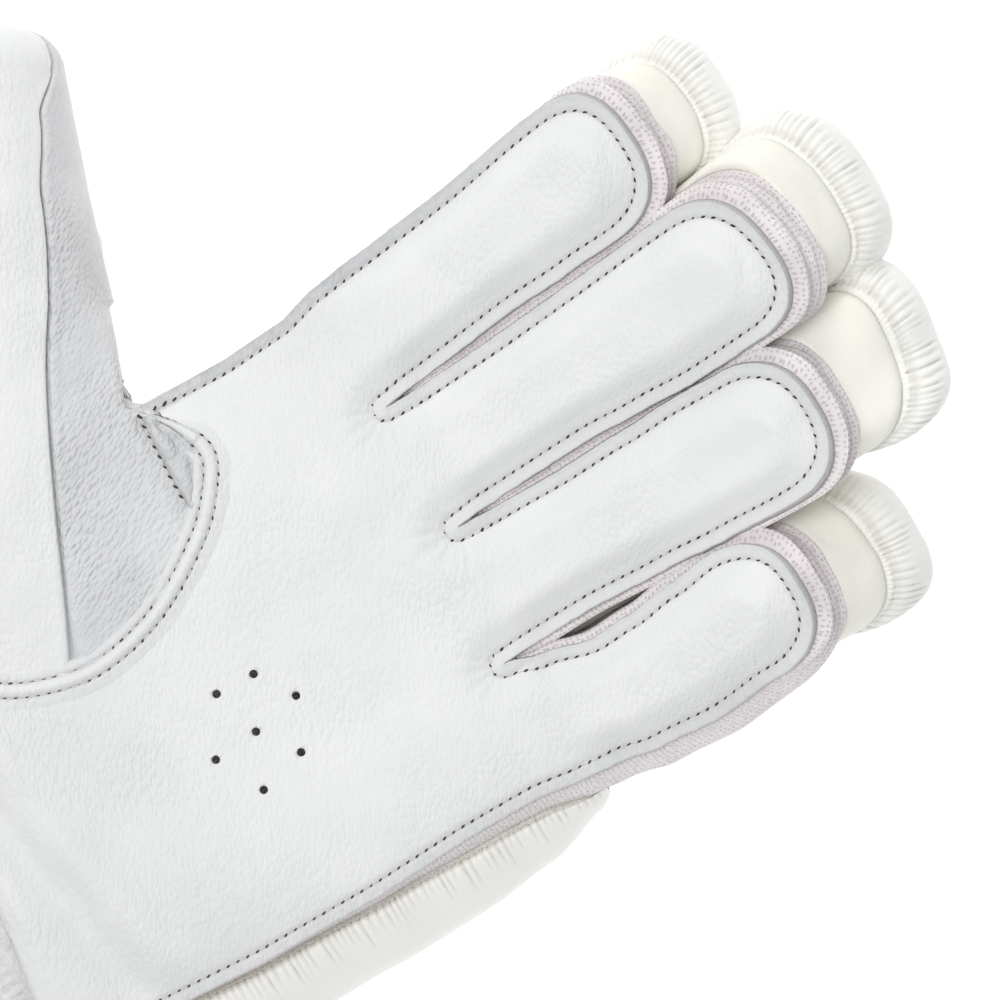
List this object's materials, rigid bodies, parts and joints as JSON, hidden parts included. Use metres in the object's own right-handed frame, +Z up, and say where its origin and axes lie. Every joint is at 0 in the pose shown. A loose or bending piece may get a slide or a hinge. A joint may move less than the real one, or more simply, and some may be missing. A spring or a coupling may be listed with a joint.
{
  "type": "cricket batting glove",
  "caption": "Left-hand cricket batting glove lying palm up: smooth leather palm and finger fronts, knitted finger sides, padding rolls on the back, sewn-in thumb and towelling cuff",
  "frame": {"origin": "middle of the glove's bounding box, on the surface that it lies on", "axes": "+Z up, out of the palm; +Y towards the fingertips; +X towards the little finger, so the thumb points to -X"},
  "size_m": [0.206, 0.2704, 0.0747],
  "materials": {
    "palm_leather": "smooth fine-grained white leather",
    "thumb_leather": "pebble-grained white leather",
    "cream_leather": "smooth cream leather",
    "roll_leather": "soft white leather gathered over foam",
    "knit": "pale warm grey spacer knit",
    "towelling": "nubby white looped towelling",
    "strap": "white woven strap"
  },
  "bodies": {
    "root": {"palm_panel": "palm_leather", "index_gusset": "knit", "middle_gusset": "knit", "ring_gusset": "knit", "little_gusset": "knit", "index_back": "cream_leather", "middle_back": "cream_leather", "ring_back": "cream_leather", "little_back": "cream_leather", "hand_back": "cream_leather", "index_roll_base": "roll_leather", "index_roll_middle": "roll_leather", "index_roll_tip": "roll_leather", "middle_roll_base": "roll_leather", "middle_roll_middle": "roll_leather", "middle_roll_tip": "roll_leather", "ring_roll_base": "roll_leather", "ring_roll_middle": "roll_leather", "ring_roll_tip": "roll_leather", "little_roll_base": "roll_leather", "little_roll_middle": "roll_leather", "little_roll_tip": "roll_leather", "hand_roll_index": "roll_leather", "hand_roll_middle": "roll_leather", "hand_roll_ring": "roll_leather", "hand_roll_little": "roll_leather", "side_roll": "roll_leather", "thumb_side": "thumb_leather", "thumb_front": "palm_leather", "thumb_back": "cream_leather", "thumb_roll_base": "roll_leather", "thumb_roll_tip": "roll_leather", "thumb_welt": "palm_leather", "cuff": "towelling", "wrist_strap": "strap"}
  },
  "joints": []
}
